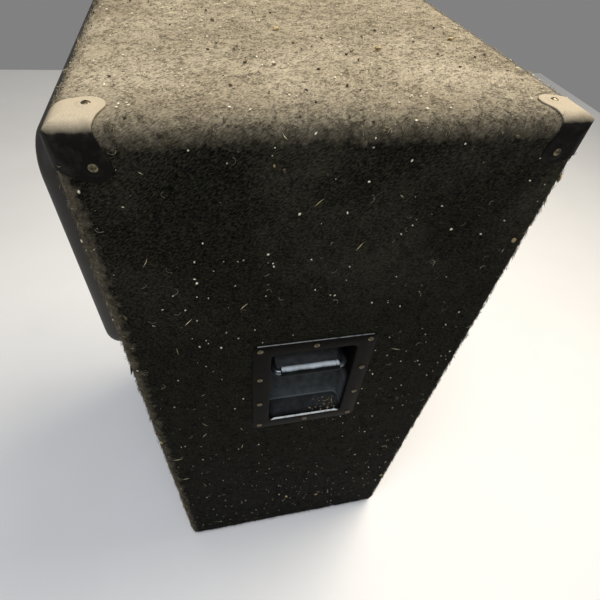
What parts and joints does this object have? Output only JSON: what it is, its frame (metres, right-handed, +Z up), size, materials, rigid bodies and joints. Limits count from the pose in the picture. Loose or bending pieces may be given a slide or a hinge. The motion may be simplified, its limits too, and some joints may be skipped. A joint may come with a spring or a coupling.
{
  "type": "stage monitor loudspeaker cabinet",
  "caption": "Upright carpeted stage monitor cabinet with stacked woofers behind a grille, a horn with a moulded lip, recessed bar handles and plated corners.",
  "frame": {"origin": "on the floor, under the middle of the object's bounding box", "axes": "+Z up, front (grille and horn) towards -Y, the pictured side towards +X"},
  "size_m": [0.618, 0.5324, 1.132],
  "materials": {
    "plywood": "raw birch plywood",
    "black_plywood": "plywood painted matt black",
    "carpet": "charcoal trunk carpet, dusty",
    "wadding": "white polyester wadding",
    "plated_steel": "nickel plated, dulled and dusty",
    "screw_steel": "zinc plated, dulled",
    "rubber": "matt black rubber",
    "handle_paint": "satin black enamel with dust",
    "bar_steel": "black enamel, worn",
    "grip_plastic": "polished black sleeve",
    "black_paint": "black powder coat",
    "plate_steel": "zinc passivated steel",
    "ferrite": "sintered ferrite",
    "black_screw": "black oxide screw",
    "horn_plastic": "moulded black structural foam",
    "plug_plastic": "moulded phenolic",
    "dome_metal": "thin aluminium dome",
    "phenolic": "polyimide film",
    "foam": "open-cell black foam",
    "jack_plastic": "moulded black nylon",
    "nut_chrome": "nickel plated nut",
    "pot_metal": "stamped aluminium case",
    "knob_plastic": "moulded black knob",
    "board_laminate": "glass laminate board",
    "component_case": "wound coils and film capacitors",
    "wire_jacket": "PVC two-core lead",
    "coil_copper": "enamelled copper wire",
    "paper_cone": "doped paper pulp",
    "surround_cloth": "doped cloth roll",
    "spider_cloth": "resin-stiffened cloth"
  },
  "bodies": {
    "root": {"top_panel": "plywood", "bottom_panel": "plywood", "left_side_panel": "plywood", "right_side_panel": "plywood", "back_panel": "plywood", "front_baffle": "black_plywood", "shelf_brace": "plywood", "carpet_wrap": "carpet", "carpet_back": "carpet", "damping_wadding": "wadding", "corner_front_left": "plated_steel", "corner_front_right": "plated_steel", "corner_back_left": "plated_steel", "corner_back_right": "plated_steel", "corner_screws": "screw_steel", "rubber_feet": "rubber", "foot_screws": "screw_steel", "handle_dish_left": "handle_paint", "handle_dish_right": "handle_paint", "handle_bar_left": "bar_steel", "handle_bar_right": "bar_steel", "handle_grip_left": "grip_plastic", "handle_grip_right": "grip_plastic", "handle_screws": "screw_steel", "woofer_baskets": "black_paint", "woofer_top_plates": "plate_steel", "woofer_magnets": "ferrite", "woofer_pole_plates": "plate_steel", "baffle_screws": "black_screw", "upper_surround": "surround_cloth", "upper_spider": "spider_cloth", "lower_surround": "surround_cloth", "lower_spider": "spider_cloth", "horn_flare": "horn_plastic", "driver_pole_plate": "plate_steel", "driver_magnet": "ferrite", "driver_top_plate": "plate_steel", "phase_plug": "plug_plastic", "diaphragm_suspension": "phenolic", "driver_cover": "black_paint", "driver_bolts": "screw_steel", "port_tubes": "horn_plastic", "grille": "black_paint", "grille_foam": "foam", "panel_screws": "black_screw", "input_dish": "black_paint", "input_jacks": "jack_plastic", "jack_nuts": "nut_chrome", "level_control": "pot_metal", "crossover_board": "board_laminate", "crossover_parts": "component_case", "wiring": "wire_jacket"},
    "upper_cone_body": {"upper_voice_coil": "coil_copper", "upper_cone": "paper_cone", "upper_dust_cap": "paper_cone"},
    "lower_cone_body": {"lower_voice_coil": "coil_copper", "lower_cone": "paper_cone", "lower_dust_cap": "paper_cone"},
    "diaphragm_body": {"diaphragm": "dome_metal"},
    "level_knob_body": {"level_knob": "knob_plastic"}
  },
  "joints": [
    {"name": "upper_woofer_travel", "type": "slide", "parent": "root", "child": "upper_cone_body", "axis": [0, -1, 0], "range_m": [-0.007, 0.007], "stiffness_N_per_m": 4200, "deforming": ["upper_surround", "upper_spider"]},
    {"name": "lower_woofer_travel", "type": "slide", "parent": "root", "child": "lower_cone_body", "axis": [0, -1, 0], "range_m": [-0.007, 0.007], "stiffness_N_per_m": 4200, "deforming": ["lower_surround", "lower_spider"]},
    {"name": "diaphragm_travel", "type": "slide", "parent": "root", "child": "diaphragm_body", "axis": [0, -1, 0], "range_m": [-0.0003, 0.0003], "stiffness_N_per_m": 9000, "deforming": ["diaphragm_suspension"]},
    {"name": "level_knob_turn", "type": "hinge", "parent": "root", "child": "level_knob_body", "pos_m": [-0.038, 0.2238, 0.34], "axis": [0, 1, 0], "range_deg": [-150, 150]}
  ]
}
